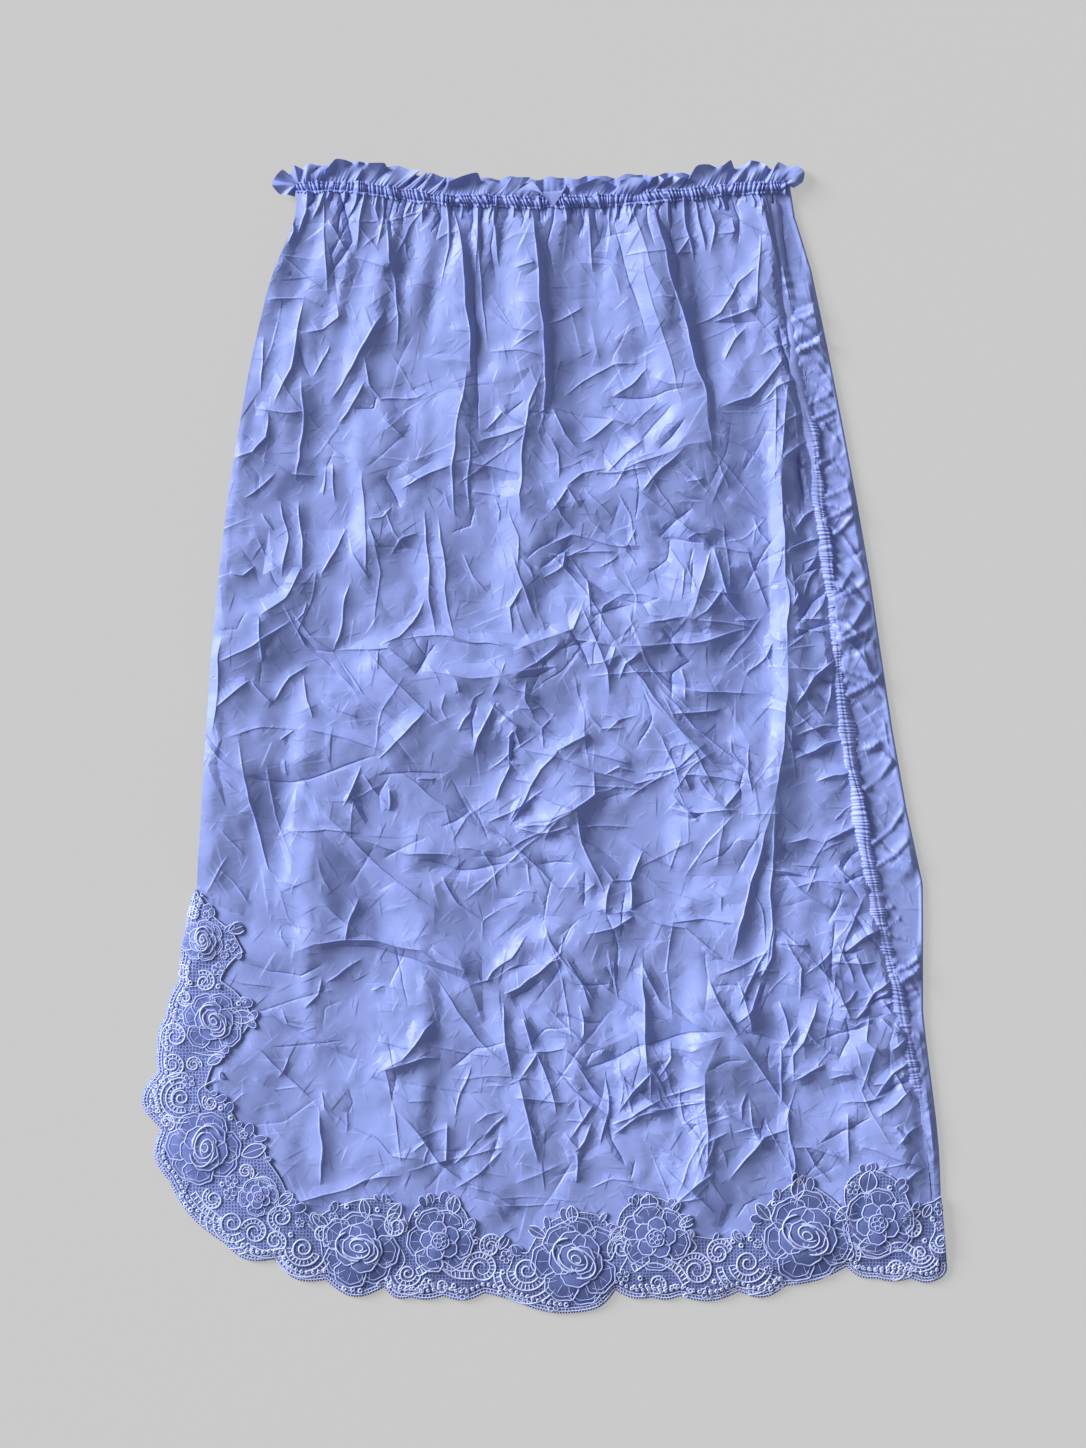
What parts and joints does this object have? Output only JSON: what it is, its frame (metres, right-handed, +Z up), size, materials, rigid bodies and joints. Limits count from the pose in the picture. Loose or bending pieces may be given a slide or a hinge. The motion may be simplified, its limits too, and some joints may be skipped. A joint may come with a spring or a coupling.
{
  "type": "pencil skirt",
  "caption": "Pull-on pencil skirt laid flat: crinkled taffeta panels, gathered elastic waist with a frill, rose lace round the hem and slit.",
  "frame": {"origin": "centre of the skirt's footprint, on the surface that it lies on", "axes": "+X across the skirt towards its right edge as laid, +Y along its length towards the waist, +Z up off the surface"},
  "size_m": [0.5473, 0.7827, 0.008],
  "materials": {
    "taffeta": "crinkled taffeta with a soft satin sheen",
    "casing": "taffeta gathered over elastic",
    "seam": "overlocked taffeta edge",
    "lace": "corded floral lace on net, matte"
  },
  "bodies": {
    "root": {"front_panel": "taffeta", "back_panel": "taffeta", "side_seam": "seam", "waist_casing_front": "casing", "waist_casing_back": "casing", "waist_frill_front": "taffeta", "waist_frill_back": "taffeta", "hem_lace_front": "lace", "hem_lace_back": "lace"}
  },
  "joints": []
}
